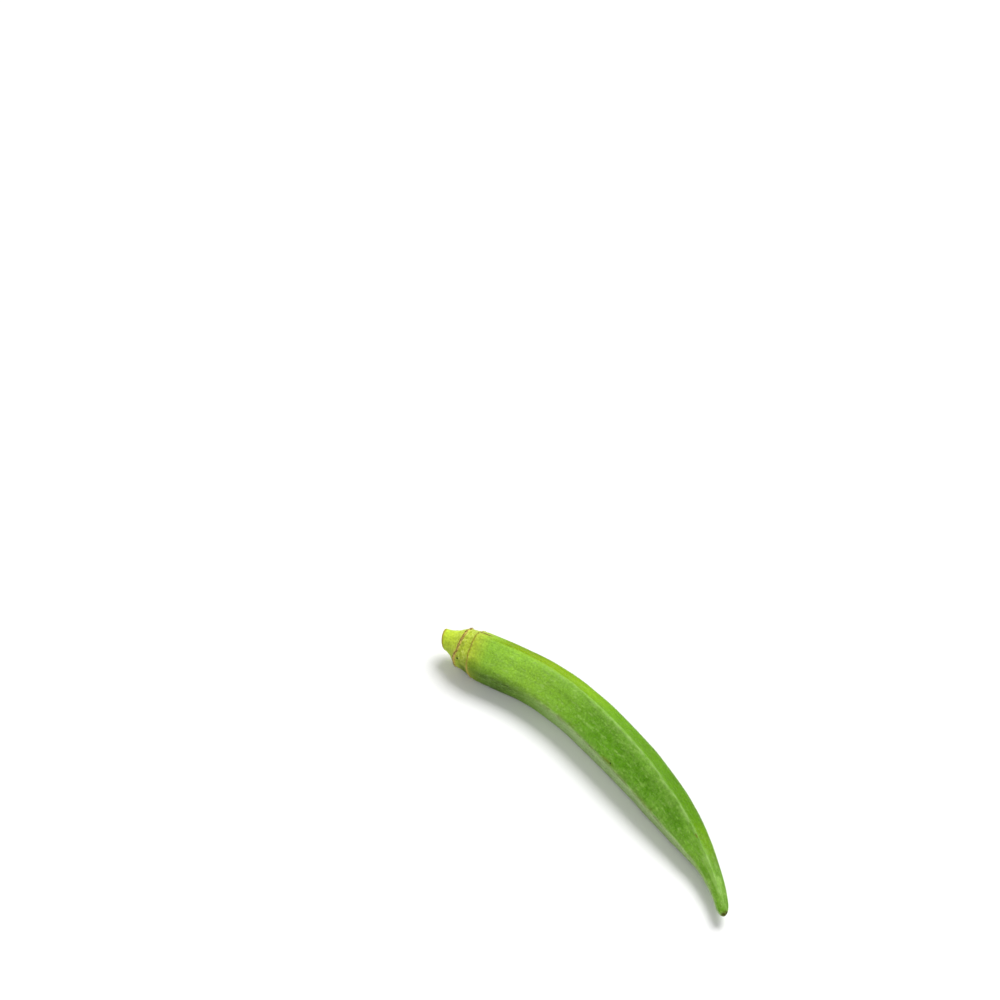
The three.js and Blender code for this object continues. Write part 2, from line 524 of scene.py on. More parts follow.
def skin_tree(material):
    """Grows the skin round the spine: a grid whose rows follow the spine's points, closed round them."""
    sizes = dict.fromkeys(RELIEF_SIZES, "Float")
    nodes = GeometryNodes("Pod Skin", columns="Int", crowding="Float", **sizes)
    spine = nodes.input("geometry")
    rows = nodes.add("GeometryNodeAttributeDomainSize", {"component": "MESH"}, {"Geometry": spine})
    columns = nodes.input("columns")
    grid_sizes = {"Size X": 1.0, "Size Y": 1.0, "Vertices X": rows, "Vertices Y": columns * RIDGES + 1}
    grid = nodes.add("GeometryNodeMeshGrid", None, grid_sizes)
    place_x, place_y, _ = nodes.split(nodes.add("GeometryNodeInputPosition"))
    row = ((place_x + 0.5) * (rows - 1)).math("ROUND")

    def of_row(name):
        return nodes.sample(spine, nodes.attribute(name), row)

    distance = of_row("row_distance")
    share = of_row("row_share")
    angularity = of_row("row_angularity")
    heading = of_row("row_heading")
    on_spine = nodes.sample(spine, nodes.add("GeometryNodeInputPosition"), row, "FLOAT_VECTOR")

    # The place round the section: columns crowd towards the ridges.
    faces = (place_y + 0.5) * RIDGES
    face = faces.floor()
    even = faces - face
    past = even - nodes.input("crowding") * (even * math.tau).sin() / math.tau
    angle = math.pi / 2 + of_row("row_lean") - (face + past) * math.radians(FACE_DEG)
    angle = angle - math.radians(UNEVEN_DEG) * (angle - math.radians(UNEVEN_AT_DEG)).cos()
    from_ridge = (0.5 - abs(past - 0.5)) * FACE_DEG

    # The section's radius, by the same rule as the solid's.
    rounding = of_row("row_rounding")
    rounded = (from_ridge * from_ridge + rounding * rounding).sqrt() - rounding
    half = math.radians(FACE_DEG / 2)
    flat_face = math.cos(half) / (half - rounded * math.radians(1)).cos()
    rib = nodes.input("rib_height") * angularity * from_ridge.bell(RIB_HALF_WIDTH_DEG)
    smooth_radius = of_row("row_radius") * (1 - angularity * (1 - flat_face)) + rib
    turned = (from_ridge * math.radians(RIDGES)).cos()
    straight = nodes.vector(distance, smooth_radius * angle.cos(), smooth_radius * angle.sin())
    wobble = nodes.swing("wobble", straight, MM)
    droop = angle.sin().fade(0.8, 0.2) * (CALYX_DROOP * MM)
    calyx = distance + droop - (CALYX_AT * MM + CALYX_WAVE * MM * turned) + wobble * CALYX_WANDER
    bract = distance - (BRACT_AT * MM + BRACT_WAVE * MM * turned) + wobble * BRACT_WANDER

    # Relief: rings with torn edges, rills along the skin, soft lumps, wrinkles between the rings, and waves
    # in the beak's ridges on the inner side of the bend.
    torn = LEAST_HEIGHT + nodes.pattern("torn", straight)
    scars = nodes.input("calyx_height") * calyx.bell(CALYX_HALF_WIDTH * MM) * torn
    scars = scars + nodes.input("bract_height") * bract.bell(BRACT_HALF_WIDTH * MM) * torn
    rills = nodes.swing("rills", straight, nodes.input("streak_depth"))
    lumps = nodes.swing("lumps", straight, nodes.input("lump_depth"))
    wrinkles = nodes.swing("wrinkles", straight, nodes.input("wrinkle_depth")) * distance.within(*WRINKLES)
    ridge = (faces + 0.5).floor()
    ridge = ridge - (ridge / RIDGES).floor() * RIDGES
    along_ridge = nodes.vector(distance / (WAVE_LENGTH * MM), ridge, 0.0)
    swell = nodes.noise(along_ridge, detail=1.0, roughness=0.5, seed=6.0) - 0.5
    waves = swell * nodes.input("wave_depth") * from_ridge.bell(WAVE_HALF_WIDTH_DEG)
    waves = waves * distance.within(*WAVES) * angle.cos().fade(0.2, 0.8)
    radius = (smooth_radius + scars + rills + lumps + wrinkles + waves) * share

    slant = of_row("row_slant") * radius * (angle - math.radians(SLANT_TOWARDS_DEG)).cos()
    shift = of_row("row_hollow") - slant
    side = radius * angle.cos()
    ahead_x, ahead_y = heading.cos(), heading.sin()
    out_x = side * ahead_y + shift * ahead_x
    out_y = shift * ahead_y - side * ahead_x
    x, y, z = nodes.split(on_spine)
    position = nodes.vector(x + out_x, y + out_y, (z + radius * angle.sin()).largest(0.0))

    skin = nodes.store(grid, "straight", nodes.vector(distance, side, radius * angle.sin()), "FLOAT_VECTOR")
    skin = nodes.store(skin, "ahead", nodes.vector(ahead_x, ahead_y, 0.0), "FLOAT_VECTOR")
    skin = nodes.store(skin, "ridge_gap", from_ridge * math.radians(1) * radius)
    skin = nodes.store(skin, "calyx_gap", calyx)
    skin = nodes.store(skin, "bract_gap", bract)
    skin = nodes.store(skin, "on_cut", (1 - share) * distance.fade(0.02 * MM, 0.01 * MM))
    skin = nodes.add("GeometryNodeSetPosition", None, {"Geometry": skin, "Position": position})
    skin = nodes.add("GeometryNodeMergeByDistance", None, {"Geometry": skin, "Distance": 0.002 * MM})
    skin = nodes.add("GeometryNodeFlipFaces", None, {"Mesh": skin})
    skin = nodes.add("GeometryNodeSetShadeSmooth", None, {"Geometry": skin})
    return nodes.end(skin, material)


def bristle_tree(material):
    """Sets bristles on a skin: three-sided spikes that lean towards the beak, each with a random turn."""
    nodes = GeometryNodes(
        "Bristles", density="Float", length="Float", thickness="Float", lean="Float", spread="Float",
        seed="Int",
    )
    points = nodes.add(
        "GeometryNodeDistributePointsOnFaces", {"distribute_method": "RANDOM"},
        {
            "Mesh": nodes.input("geometry"),
            "Density": nodes.input("density") * nodes.attribute("bristle_share"),
            "Seed": nodes.input("seed"),
        },
    )
    normal = nodes.sibling(points, "Normal")
    spread = nodes.input("spread")
    seed = nodes.input("seed")
    strays = nodes.vector(*(nodes.random(-1.0, 1.0, seed + k) for k in (1, 2, 3)))
    leaning = nodes.scaled(nodes.attribute("ahead", "FLOAT_VECTOR"), nodes.input("lean"))
    direction = nodes.vectors("ADD", nodes.vectors("ADD", normal, leaning), nodes.scaled(strays, spread))
    turned = nodes.add("FunctionNodeAlignRotationToVector", {"axis": "Z"}, {"Vector": direction})
    length = nodes.input("length") * nodes.random(*BRISTLE_LENGTHS, seed + 4)
    spike_sizes = {"Vertices": BRISTLE_SIDES, "Radius Top": 0.0, "Radius Bottom": 1.0, "Depth": 1.0}
    spike = nodes.add("GeometryNodeMeshCone", {"fill_type": "NGON"}, spike_sizes)
    thickness = nodes.input("thickness") * 0.5
    bristles = nodes.add(
        "GeometryNodeInstanceOnPoints", None,
        {
            "Points": points,
            "Instance": spike,
            "Rotation": turned,
            "Scale": nodes.vector(thickness, thickness, length),
        },
    )
    return nodes.end(bristles, material)


def grown(name, mesh, tree, **inputs):
    """The result of a node tree on a mesh, as an object with a plain mesh and no modifier."""
    piece = bpy.data.objects.new(name, mesh)
    bpy.context.scene.collection.objects.link(piece)
    modifier = piece.modifiers.new(name, "NODES")
    modifier.node_group = tree
    identifiers = {s.name: s.identifier for s in tree.interface.items_tree if s.in_out == "INPUT"}
    for key, value in inputs.items():
        modifier[identifiers[input_name(key)]] = value
    depsgraph = bpy.context.evaluated_depsgraph_get()
    evaluated = piece.evaluated_get(depsgraph)
    result = bpy.data.meshes.new_from_object(evaluated, preserve_all_data_layers=True, depsgraph=depsgraph)
    piece.modifiers.remove(modifier)
    piece.data = result
    result.name = name
    return piece


def ride_pod(piece):
    """Makes a finished piece part of the pod."""
    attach(piece, BODY)


def seated(mesh):
    """Moves a mesh so that its footprint is where the solid's is."""
    low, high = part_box(NODE)
    xs = [v.co.x for v in mesh.vertices]
    ys = [v.co.y for v in mesh.vertices]
    middle = Vector((min(xs) + max(xs), min(ys) + max(ys), 0)) / 2
    goal = (low + high) / 2
    mesh.transform(Matrix.Translation((goal.x - middle.x, goal.y - middle.y, 0)))


def new_material(name):
    """An empty material, and its node tree that is being built."""
    material = bpy.data.materials.new(name)
    material.use_nodes = True
    material.node_tree.nodes.clear()
    return material, Nodes(material.node_tree)


def finish_material(nodes, **inputs):
    """Closes a material with a Principled shader that has those inputs."""
    named = {input_name(key).replace("Ior", "IOR"): value for key, value in inputs.items()}
    shader = nodes.add("ShaderNodeBsdfPrincipled", None, named)
    nodes.add("ShaderNodeOutputMaterial", None, {"Surface": shader})


class SkinPaint:
    """The skin's colour as it is painted layer by layer, and where each place of it lies on the pod."""

    def __init__(self, nodes, look):
        self.nodes = nodes
        self.look = look
        self.made = {}
        self.straight = nodes.add("ShaderNodeAttribute", {"attribute_name": "straight"}, output="Vector")
        self.distance, self.side, self.up = nodes.split(self.straight)

        # How far each place faces up, and out of the pod's bend. The least reach avoids a division by 0.
        reach = (self.side * self.side + self.up * self.up + (LEAST_REACH * MM) ** 2).sqrt()
        self.upward = self.up / reach
        self.outward = -self.side / reach

        # What several layers share: the body, its outer side in the light, clouds, and ragged edges.
        self.on_body = self.past(*BODY_START)
        in_light = self.outward.fade(0.0, 0.3) * self.upward.fade(-0.1, 0.45)
        self.sunny = in_light * self.distance.within(*SUNNY)
        self.clouds = self.pattern("clouds").fade(0.36, 0.66)
        self.ragged = self.swing("ragged", 0.9)

        stops = [(at / LENGTH, self.tone(name)) for at, name in GROUND]
        self.colour = nodes.add("ShaderNodeValToRGB", {"stops": stops}, {0: self.distance / (LENGTH * MM)})

    def tone(self, name):
        return tuple(getattr(self.look, name + "_colour"))

    def stored(self, name):
        """A number that the skin's mesh stores, such as how far each place lies from a ridge or a ring."""
        return self.nodes.add("ShaderNodeAttribute", {"attribute_name": name}, output="Fac")

    def pattern(self, name):
        """One of the noise patterns on the skin, which is made once."""
        if name not in self.made:
            self.made[name] = self.nodes.pattern(name, self.straight)
        return self.made[name]

    def swing(self, name, amount):
        """A pattern that swings about 0, over a range as wide as the amount."""
        return (self.pattern(name) - 0.5) * amount

    def near(self, at, half_width):
        """1 at a distance along the pod, falling off to both sides, in millimetres."""
        return (self.distance - at * MM).bell(half_width * MM)

    def past(self, start, end):
        """0 up to the start and 1 past the end, in millimetres along the pod."""
        return self.distance.fade(start * MM, end * MM)

    def paint(self, layer, mask, tone=None):
        """Lays the layer's tone, or another, over the colour so far where the mask says."""
        tone = self.tone(layer) if tone is None else tone
        self.colour = self.nodes.mixed(mask * COVER.get(layer, 1.0), self.colour, tone)


def paint_sides(skin):
    """Painted light: outer side yellower. Lower half: painted shade near the cap, pale painted sheen further
    on.
    """
    # Painted light and shade: the lit outer side is tinted yellower and less blue, and darkened in
    # stretches.
    shade = skin.near(26, half_width=17) * SHOULDER_SHADE + skin.past(70, 95) * BODY_SHADE
    light = 1 - skin.sunny * shade - skin.outward.fade(-0.2, 0.4) * skin.past(112, 126) * BEAK_SHADE
    lime = skin.sunny * skin.past(40, 62)
    tint = [light + skin.sunny * sunny + lime * more for sunny, more in zip(SUNNY_TINT, LIME_TINT)]
    skin.colour = skin.nodes.vectors("MULTIPLY", skin.colour, skin.nodes.vector(*tint))
    # Painted sheen: the pale reflection of the floor on the lower half, towards the inner side.
    bloom = skin.upward.fade(0.42, 0.3) * skin.past(30, 60) * skin.outward.fade(0.4, -0.2)
    skin.paint("low_bloom", bloom)
    # Painted shade: the lower half near the cap, and the underside between the rings, are darkened.
    dull = skin.upward.fade(0.66, 0.1) * skin.near(24, half_width=17) * 0.95
    painted_cap_shade = skin.upward.fade(0.3, -0.1) * skin.near(10.2, half_width=2.4) * 0.85
    skin.paint("dull", dull.largest(painted_cap_shade))


def paint_bloom(skin):
    """Clouds of pale bloom, painted sheen along the upper ridges, and fine specks drawn out along the pod.
    """
    full, end = RIDGE_SHEEN_REACH
    # Painted sheen: a pale band beside the ridges that face up; the bloom is thinner on the lit outer side.
    ridge_sheen = skin.stored("ridge_gap").fade(end * MM, full * MM) * skin.upward.fade(0.4, 0.8)
    veil = (skin.clouds + ridge_sheen * skin.distance.within(*RIDGE_SHEEN)) * skin.on_body
    skin.paint("bloom", veil * (1 - skin.sunny * 0.85))
    specks = skin.pattern("long_specks").fade(0.5, 0.72) * skin.on_body
    skin.paint("speck", specks * (1 - skin.sunny * 0.7))


def paint_grain(skin):
    """The colour so far turns lighter and darker in patches, streaks along the pod and a fine grain."""
    tone = 1 + skin.swing("patches", 0.4) + skin.swing("streaks", 0.7) + skin.swing("grain", 1.4)
    skin.colour = skin.nodes.scaled(skin.colour, tone)


def paint_veins(skin):
    """Pale veins run across the upper faces where the body narrows."""
    veins = skin.pattern("veins").fade(0.48, 0.66) * skin.near(104, half_width=15)
    skin.paint("vein", veins * skin.upward.fade(0.2, 0.6) * (1 - skin.sunny), skin.tone("bloom"))


def paint_beak(skin):
    """Narrow pale and dark streaks run along the beak. Its outer side starts without the pale ones."""
    streaks = skin.pattern("narrow")
    on_beak = skin.past(114, 130)
    outer_start = skin.outward.fade(0.0, 0.4) * (1 - skin.past(124, 136))
    skin.paint("pale_streak", streaks.fade(0.48, 0.6) * on_beak * (1 - outer_start), skin.tone("streak"))
    skin.paint("dark_streak", streaks.fade(0.45, 0.34) * on_beak, skin.tone("body"))


def paint_ridges(skin):
    """Lines on the ridges, pale and broken on top, and dull and brownish lower down."""
    broken = skin.pattern("broken")
    # The pale line on the upper ridges is partly their own pale tone and partly painted highlight.
    high = skin.upward.fade(0.6, 0.9)
    line = skin.stored("ridge_gap").fade((2 - high) * (LINE_REACH * MM), 0.0) * broken.fade(0.36, 0.62)
    line = line * skin.distance.within(*RIDGE_LINES) * (1 - skin.near(119, half_width=9) * 0.5)
    line = line * (1 - skin.outward.fade(0.3, 0.7) * skin.upward.fade(0.3, 0.5) * 0.8)
    low_tone = skin.nodes.mixed(broken.fade(0.42, 0.6), skin.tone("low_ridge"), skin.tone("brown"))
    skin.paint("ridge", line, skin.nodes.mixed(high, low_tone, skin.tone("ridge")))


def paint_cap(skin):
    """Olive blotches and pale wrinkles lie on the skin round the rings, most on its upper half."""
    specks = skin.pattern("specks")
    on_cap = skin.near(8.8, half_width=3.8) * (0.1 + 0.9 * skin.upward.fade(0.0, 0.35))
    skin.paint("blotch", specks.fade(0.52, 0.64) * on_cap)
    skin.paint("pale_cap", specks.fade(0.52, 0.36) * on_cap)


def paint_calyx_scar(skin):
    """The ring that the sepals left is tan, with dark, patchy edges."""
    calyx = skin.stored("calyx_gap")
    skin.paint("scar", calyx.bell(SCAR_HALF_WIDTH * MM))
    at, half_width = BODY_EDGE
    body_edge = (calyx - at * MM).bell(half_width * MM) * skin.pattern("flecks").fade(0.48, 0.56)
    at, half_width = STALK_EDGE
    wandering = calyx - skin.swing("weave", STALK_EDGE_WANDER * MM)
    stalk_edge = (wandering - at * MM).bell(half_width * MM)
    stalk_edge = stalk_edge * (0.75 + 0.25 * skin.pattern("specks").fade(0.6, 0.4))
    skin.paint("scar_edge", (body_edge + stalk_edge).smallest(0.95))


def paint_bract_scar(skin):
    """The other ring is a fine, broken brown line, which turns wider and tan on the pod's lower half."""
    low = skin.upward.fade(0.6, 0.1)
    unbroken = (skin.pattern("flecks").fade(0.3, 0.5) + low).smallest(1.0)
    half_width = BRACT_LINE_HALF_WIDTH * MM + low * (BRACT_LINE_WIDENS * MM)
    line = skin.stored("bract_gap").bell(half_width) * (0.4 + 0.6 * unbroken)
    skin.paint("bract", line, skin.nodes.mixed(low * 0.6, skin.tone("bract"), skin.tone("scar")))


def paint_marks(skin):
    """Small ragged ovals, the marks of handling and growth."""
    around = skin.up.math("ARCTAN2", skin.side)
    for mark in MARKS:
        at, turned = mark["at"]
        length, width = mark["size"]
        ahead = (skin.distance - at * MM) / (length * MM / 2)
        across = (around - math.radians(turned)) * (along(RADIUS, at) / (width / 2))
        from_middle = (ahead * ahead + across * across).sqrt() + skin.ragged
        skin.paint("mark", from_middle.fade(1.25, 0.6) * mark["strength"], mark["colour"])


def paint_tip(skin):
    """The end of the beak is dark, where the style dried off."""
    reached = skin.distance + skin.ragged * (1.2 * MM) - skin.side * 0.4
    start, full = ((LENGTH - before) * MM for before in TIP_DARKENS)
    tip = reached.fade(start, full)
    skin.paint("tip", tip * (0.5 + 0.45 * skin.pattern("specks").fade(0.6, 0.4)))


def paint_cut(skin):
    """The cut has a drying rim, a grainy face with a paler pith, and a ring of vessels round the pith."""
    full, end = RIM
    rim = (skin.distance + skin.ragged * (0.5 * MM)).fade(end * MM, full * MM)
    skin.paint("rim", rim * (0.45 + 0.4 * skin.upward.fade(-0.6, 0.4)))
    nodes = skin.nodes
    on_cut = skin.stored("on_cut") + skin.ragged * 0.06 * skin.stored("on_cut").fade(0.0, 0.2)
    vessels = (on_cut - 0.3).bell(0.07) * skin.ragged.fade(-0.12, 0.12) * 0.55
    face = nodes.mixed(on_cut.fade(0.3, 0.5), skin.tone("cap"), skin.tone("pith"))
    face = nodes.scaled(nodes.mixed(vessels, face, skin.tone("brown")), 1 + skin.swing("grain", 1.2))
    face = nodes.mixed(on_cut.fade(0.14, 0.02) * 0.6, face, skin.tone("rim"))
    skin.paint("cut", on_cut.fade(0.0, 0.06), face)


def skin_material(look):
    """The pod's skin: yellow-green at the stalk to deep green, with pale ridges, tan rings and dark tip."""
    material, nodes = new_material("okra_skin")
    skin = SkinPaint(nodes, look)
    for paint_layer in (
        paint_sides, paint_bloom, paint_grain, paint_veins, paint_beak, paint_ridges, paint_cap,
        paint_calyx_scar, paint_bract_scar, paint_marks, paint_tip, paint_cut,
    ):
        paint_layer(skin)
    height = skin.pattern("fine") * 1.2 + skin.pattern("streaks") + skin.clouds * 0.3
    bump = {"Strength": 1.0, "Distance": 0.06 * MM, "Height": height}
    normal = nodes.add("ShaderNodeBump", None, bump, output="Normal")
    roughness = 0.6 + skin.swing("grain", 0.3) + skin.sunny * 0.2
    finish_material(
        nodes, base_color=skin.colour, roughness=roughness, normal=normal, specular_ior_level=0.1
    )
    return material


def bristle_material(name, colour, shade_colour):
    """Dry or downy bristles, in two tones that change from patch to patch."""
    material, nodes = new_material(name)
    place = nodes.add("ShaderNodeTexCoord", output="Object")
    patches = nodes.pattern("bristles", place).fade(0.35, 0.65)
    tone = nodes.mixed(patches, tuple(shade_colour), tuple(colour))
    finish_material(nodes, base_color=tone, roughness=0.6, specular_ior_level=0.3)
    return material


def colour_property(name, description, default):
    return FloatVectorProperty(
        name=name, description=description, default=default, subtype="COLOR", size=3, min=0.0, max=1.0
    )


def length_property(name, description, default):
    return FloatProperty(
        name=name, description=description, default=default * MM, min=0.0, unit="LENGTH", precision=5
    )


class OkraSkinSettings(bpy.types.PropertyGroup):
    rib_height: length_property("Rib Height", "How far each ridge's rib stands out of the skin", 0.17)
    calyx_height: length_property("Calyx Scar Height", "Height of the ring that the sepals left", 0.3)
    bract_height: length_property("Bract Scar Height", "Height of the ring nearer to the pod's body", 0.15)
    streak_depth: length_property("Streak Depth", "Depth of the fine streaks along the skin", 0.15)
    lump_depth: length_property("Lump Depth", "Depth of the soft unevenness of the faces", 0.45)
    wrinkle_depth: length_property("Wrinkle Depth", "Depth of the wrinkles between the scar rings", 0.4)
    wave_depth: length_property("Wave Depth", "Depth of the waves in the beak's ridges", 1.6)
    stalk_colour: colour_property("Stalk Colour", "Skin of the stub of stalk", (0.5, 0.66, 0.045))
    cap_colour: colour_property("Cap Colour", "Skin between the scar rings", (0.42, 0.54, 0.04))
    shoulder_colour: colour_property("Shoulder Colour", "Skin where the body begins", (0.25, 0.48, 0.035))
    body_colour: colour_property("Body Colour", "Skin of the body's middle", (0.1, 0.28, 0.006))
    deep_colour: colour_property("Deep Colour", "Skin where the body narrows", (0.075, 0.225, 0.003))
    beak_colour: colour_property("Beak Colour", "Skin of the beak", (0.15, 0.345, 0.022))
    bloom_colour: colour_property("Bloom Colour", "Clouds of pale bloom on the skin", (0.21, 0.41, 0.055))
    # Painted sheen: the pale reflection of the floor on the lower half.
    low_bloom_colour: colour_property("Painted Low Sheen Colour", "The bloom on the lower half", (0.4, 0.52, 0.26))
    # Painted shade: the colour that darkens the lower skin near the cap.
    dull_colour: colour_property("Painted Shade Colour", "The lower skin near the cap", (0.04, 0.085, 0.001))
    speck_colour: colour_property("Speck Colour", "Fine pale specks", (0.36, 0.56, 0.14))
    streak_colour: colour_property("Streak Colour", "Pale streaks along the beak", (0.24, 0.44, 0.08))
    # Partly painted highlight: the pale line on the ridges that face up.
    ridge_colour: colour_property("Ridge Colour", "The pale line on the upper ridges", (0.4, 0.6, 0.2))
    low_ridge_colour: colour_property("Low Ridge Colour", "The duller lower ridges", (0.3, 0.36, 0.14))
    brown_colour: colour_property("Brown Colour", "Rubbed stretches of the lower ridges", (0.13, 0.13, 0.03))
    scar_colour: colour_property("Scar Colour", "The dry ring that the sepals left", (0.68, 0.45, 0.12))
    scar_edge_colour: colour_property("Scar Edge Colour", "That ring's dark edges", (0.09, 0.032, 0.006))
    bract_colour: colour_property("Bract Colour", "The fine ring nearer to the body", (0.3, 0.2, 0.03))
    blotch_colour: colour_property("Blotch Colour", "Blotches round the rings", (0.2, 0.24, 0.015))
    pale_cap_colour: colour_property("Pale Cap Colour", "Pale wrinkles round the rings", (0.68, 0.77, 0.18))
    rim_colour: colour_property("Rim Colour", "The drying rim of the cut", (0.34, 0.25, 0.02))
    tip_colour: colour_property("Tip Colour", "The dried tip of the beak", (0.05, 0.026, 0.002))
    pith_colour: colour_property("Pith Colour", "The cut face of the stalk", (0.56, 0.6, 0.26))


class OkraDownSettings(bpy.types.PropertyGroup):
    density: FloatProperty(
        name="Density", description="Hairs on each square millimetre", default=9.0, min=0.0, max=12.0
    )
    length: length_property("Length", "Length of a hair", 0.32)
    thickness: length_property("Thickness", "Thickness of a hair at its root", 0.035)
    seed: IntProperty(name="Seed", description="Start of the random draw", default=7, min=0)
    colour: colour_property("Colour", "Lit hairs", (0.6, 0.74, 0.4))
    shade_colour: colour_property("Shade Colour", "Hairs in the duller patches", (0.3, 0.48, 0.12))


class OkraScarSettings(bpy.types.PropertyGroup):
    density: FloatProperty(
        name="Density", description="Fibres on each square millimetre of the sepals' ring", default=9.0,
        min=0.0, max=40.0,
    )
    length: length_property("Length", "Length of a fibre", 0.55)
    thickness: length_property("Thickness", "Thickness of a fibre at its root", 0.14)
    seed: IntProperty(name="Seed", description="Start of the random draw", default=31, min=0)
    colour: colour_property("Colour", "Dry fibres", (0.5, 0.4, 0.09))
    shade_colour: colour_property("Shade Colour", "Darker fibres", (0.1, 0.045, 0.008))


class OkraStageSettings(bpy.types.PropertyGroup):
    azimuth: FloatProperty(
        name="Camera Azimuth", description="How far round the pod the camera stands", subtype="ANGLE",
        default=math.radians(51.7),
    )
    elevation: FloatProperty(
        name="Camera Elevation", description="The camera's height above the horizon", subtype="ANGLE",
        default=math.radians(45),
    )
    distance: FloatProperty(
        name="Camera Distance", description="From the camera to the pod's origin, along its axis",
        default=0.771, unit="LENGTH",
    )
    lens: FloatProperty(name="Lens", description="Focal length in millimetres", default=85.0, min=1.0)
    floor_colour: colour_property("Floor Colour", "The plain pale floor", (0.9, 0.9, 0.9))
    sky_strength: FloatProperty(name="Sky Strength", description="Even light from all round", default=0.42)


class OKRA_OT_grow_skin(bpy.types.Operator):
    """Grows the pod's fine skin, which stands for the solid"""

    bl_idname = "okra.grow_skin"
    bl_label = "Grow Skin"

    def execute(self, context):
        look = context.scene.okra_skin
        tree = skin_tree(skin_material(look))
        sizes = {name: getattr(look, name) for name in RELIEF_SIZES}
        skin = grown(
            "okra_skin", spine_mesh(), tree, columns=COLUMNS_PER_FACE, crowding=COLUMN_CROWDING, **sizes,
        )
        seated(skin.data)
        ride_pod(skin)
        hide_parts(NODE)
        return {"FINISHED"}


def bristle_base(name, share):
    """A copy of the skin's mesh that says how thick the bristles stand at each point.

    The share function is given a point's place on the straight pod, its height and its stored gaps.
    """
    mesh = bpy.data.objects["okra_skin"].data.copy()
    mesh.name = name
    count = len(mesh.vertices)
    read = {}
    for key in ("calyx_gap", "bract_gap", "ridge_gap", "on_cut"):
        column = [0.0] * count
        mesh.attributes[key].data.foreach_get("value", column)
        read[key] = column
    places = [item.vector for item in mesh.attributes["straight"].data]
    shares = [
        share(places[i], vertex.co.z, {key: column[i] for key, column in read.items()})
        for i, vertex in enumerate(mesh.vertices)
    ]
    mesh.attributes.new("bristle_share", "FLOAT", "POINT").data.foreach_set("value", shares)
    return mesh


def down_share(place, height, gaps):
    """Thin on the cap and outer side, thick on the ridges and below, and none by the floor or the ring."""
    if height < DOWN_OFF_FLOOR * MM or place.x > (LENGTH - DOWN_OFF_TIP) * MM:
        return 0.0
    if gaps["on_cut"] > 0 or abs(gaps["calyx_gap"]) < DOWN_OFF_RING * MM:
        return 0.0
    if place.x < DOWN_BODY_FROM * MM:
        return DOWN_SHARES["cap"]
    reach = place.yz.length
    lowest, highest = OUTER_SIDE_UP
    if place.y < -DOWN_OUTER_FROM * MM and lowest * reach < place.z < highest * reach:
        return DOWN_SHARES["outer side"]
    on_ridge = gaps["ridge_gap"] < DOWN_RIDGE_HALF_WIDTH * MM
    if place.x > DOWN_RIDGES_FROM * MM and (on_ridge or place.z < LOWER_SIDE_UP * reach):
        return DOWN_SHARES["ridges and lower side"]
    return DOWN_SHARES["faces"]


def fibre_share(place, height, gaps):
    """Thick on the sepals' ring, and thinner on the other one."""
    if height < FIBRES_OFF_FLOOR * MM:
        return 0.0
    if abs(gaps["calyx_gap"]) < CALYX_FIBRES_WITHIN * MM:
        return 1.0
    return BRACT_FIBRE_SHARE if abs(gaps["bract_gap"]) < BRACT_FIBRES_WITHIN * MM else 0.0


def grow_bristles(name, look, share, lean, spread):
    """Grows one kind of bristle on the skin, with that share of its density at each point."""
    tree = bristle_tree(bristle_material(name, look.colour, look.shade_colour))
    bristles = grown(
        name, bristle_base(name + "_base", share), tree, density=look.density / MM ** 2, length=look.length,
        thickness=look.thickness, lean=lean, spread=spread, seed=look.seed,
    )
    ride_pod(bristles)


class OKRA_OT_grow_down(bpy.types.Operator):
    """Sets the fine down on the pod's skin"""

    bl_idname = "okra.grow_down"
    bl_label = "Grow Down"

    def execute(self, context):
        grow_bristles("okra_down", context.scene.okra_down, down_share, lean=0.5, spread=0.45)
        return {"FINISHED"}


class OKRA_OT_fray_scars(bpy.types.Operator):
    """Sets the torn fibres on the two scar rings"""

    bl_idname = "okra.fray_scars"
    bl_label = "Fray Scars"

    def execute(self, context):
        grow_bristles("okra_scar_fibres", context.scene.okra_scars, fibre_share, lean=1.6, spread=1.1)
        return {"FINISHED"}


class OKRA_OT_set_stage(bpy.types.Operator):
    """Sets the floor, the lights and the camera"""

    bl_idname = "okra.set_stage"
    bl_label = "Set Stage"

    def execute(self, context):
        look = context.scene.okra_stage
        add_floor(look)
        add_sky(context.scene, look)
        for light in LIGHTS:
            add_softbox(*light)
        add_camera(context.scene, look)
        context.scene.view_settings.view_transform = "Standard"
        return {"FINISHED"}


def add_floor(look):
    """A wide pale floor, a hair's breadth under the pod."""
    mesh = bpy.data.meshes.new("floor")
    signs = ((-1, -1), (1, -1), (1, 1), (-1, 1))
    corners = [(x * FLOOR_HALF, y * FLOOR_HALF, -FLOOR_GAP * MM) for x, y in signs]
    mesh.from_pydata(corners, [], [(0, 1, 2, 3)])
    floor = bpy.data.objects.new("floor", mesh)
    bpy.context.scene.collection.objects.link(floor)
    material, nodes = new_material("floor")
    finish_material(nodes, base_color=(*look.floor_colour, 1), roughness=0.7, specular_ior_level=0.2)
    mesh.materials.append(material)


def add_sky(scene, look):
    """Even white light from all round."""
    scene.world = bpy.data.worlds.new("sky")
    scene.world.use_nodes = True
    background = scene.world.node_tree.nodes["Background"]
    background.inputs["Color"].default_value = (1, 1, 1, 1)
    background.inputs["Strength"].default_value = look.sky_strength


def add_softbox(name, place, size, power):
    """A square area light that faces the pod's origin."""
    light = bpy.data.lights.new(name, "AREA")
    light.size = size
    light.energy = power
    box = bpy.data.objects.new(name, light)
    box.location = place
    box.rotation_euler = (-Vector(place)).to_track_quat("-Z", "Y").to_euler()
    bpy.context.scene.collection.objects.link(box)


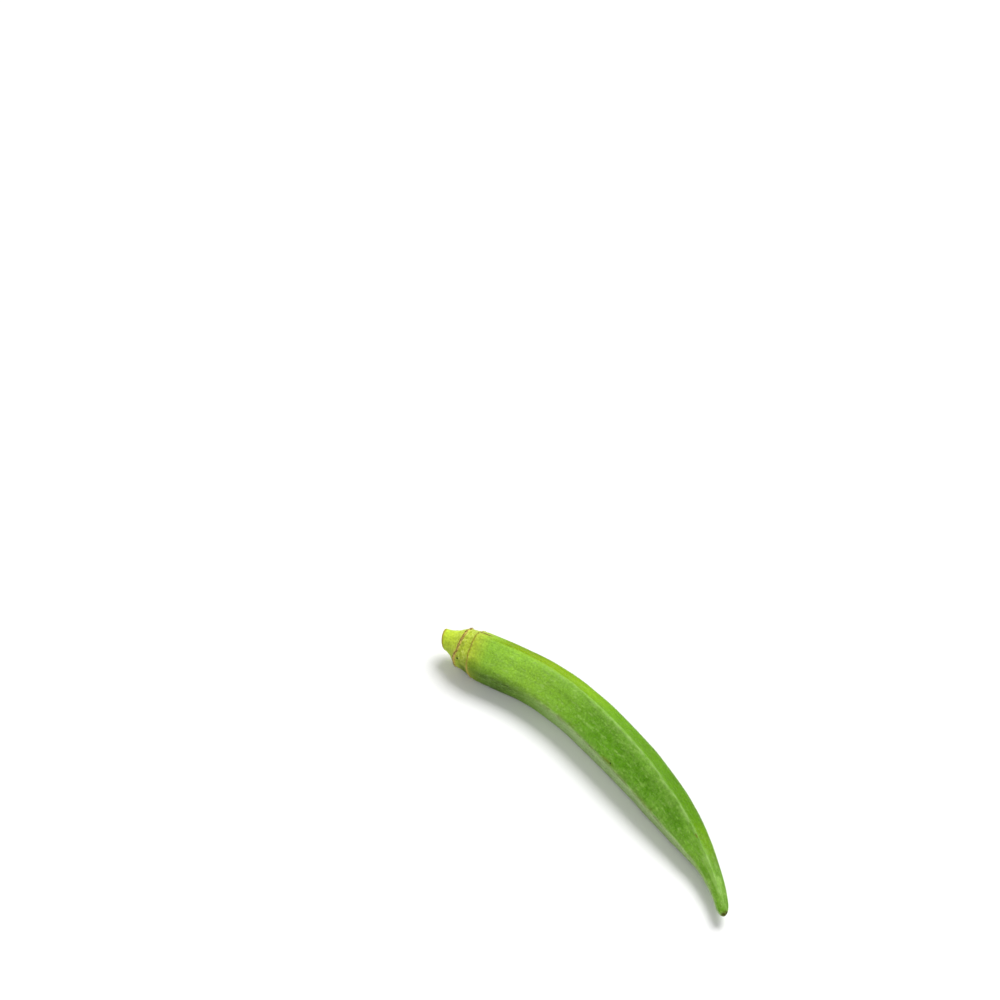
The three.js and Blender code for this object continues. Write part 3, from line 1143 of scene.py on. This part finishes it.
def add_camera(scene, look):
    """A camera that sees the pod's origin at its pixel."""
    camera = bpy.data.cameras.new("camera")
    camera.lens = look.lens
    camera.sensor_width = SENSOR_WIDTH
    camera.clip_start = 0.01
    eye = bpy.data.objects.new("camera", camera)
    a, e = look.azimuth, look.elevation
    forward = Vector((-math.sin(a) * math.cos(e), math.cos(a) * math.cos(e), -math.sin(e)))
    right = Vector((math.cos(a), math.sin(a), 0))
    up = right.cross(forward)
    per_pixel = look.distance * SENSOR_WIDTH / (look.lens * FRAME_PIXELS)
    across = (ORIGIN_PIXEL[0] - FRAME_PIXELS / 2) * per_pixel
    above = (FRAME_PIXELS / 2 - ORIGIN_PIXEL[1]) * per_pixel
    eye.location = -forward * look.distance - right * across - up * above
    eye.rotation_euler = Matrix((right, up, -forward)).transposed().to_euler()
    scene.collection.objects.link(eye)
    scene.camera = eye


class OKRA_PT_panel(bpy.types.Panel):
    bl_label = "Okra Pod"
    bl_idname = "OKRA_PT_panel"
    bl_space_type = "VIEW_3D"
    bl_region_type = "UI"
    bl_category = "Okra"

    def draw(self, context):
        for group, operator in STEPS.items():
            box = self.layout.box()
            settings = getattr(context.scene, group)
            for name in settings.__annotations__:
                box.prop(settings, name)
            box.operator(operator)


# Each group of settings with the operator that uses it, and with its class.
STEPS = {
    "okra_skin": "okra.grow_skin",
    "okra_down": "okra.grow_down",
    "okra_scars": "okra.fray_scars",
    "okra_stage": "okra.set_stage",
}
SETTINGS = {
    "okra_skin": OkraSkinSettings,
    "okra_down": OkraDownSettings,
    "okra_scars": OkraScarSettings,
    "okra_stage": OkraStageSettings,
}
OPERATORS = [OKRA_OT_grow_skin, OKRA_OT_grow_down, OKRA_OT_fray_scars, OKRA_OT_set_stage]


def register():
    for item in (*SETTINGS.values(), *OPERATORS, OKRA_PT_panel):
        bpy.utils.register_class(item)
    for name, group in SETTINGS.items():
        setattr(bpy.types.Scene, name, PointerProperty(type=group))


def unregister():
    for name in SETTINGS:
        delattr(bpy.types.Scene, name)
    for item in (OKRA_PT_panel, *reversed(OPERATORS), *reversed(SETTINGS.values())):
        bpy.utils.unregister_class(item)


def main():
    register()
    bpy.ops.okra.grow_skin()
    bpy.ops.okra.grow_down()
    bpy.ops.okra.fray_scars()
    bpy.ops.okra.set_stage()


if __name__ == "__main__":
    main()
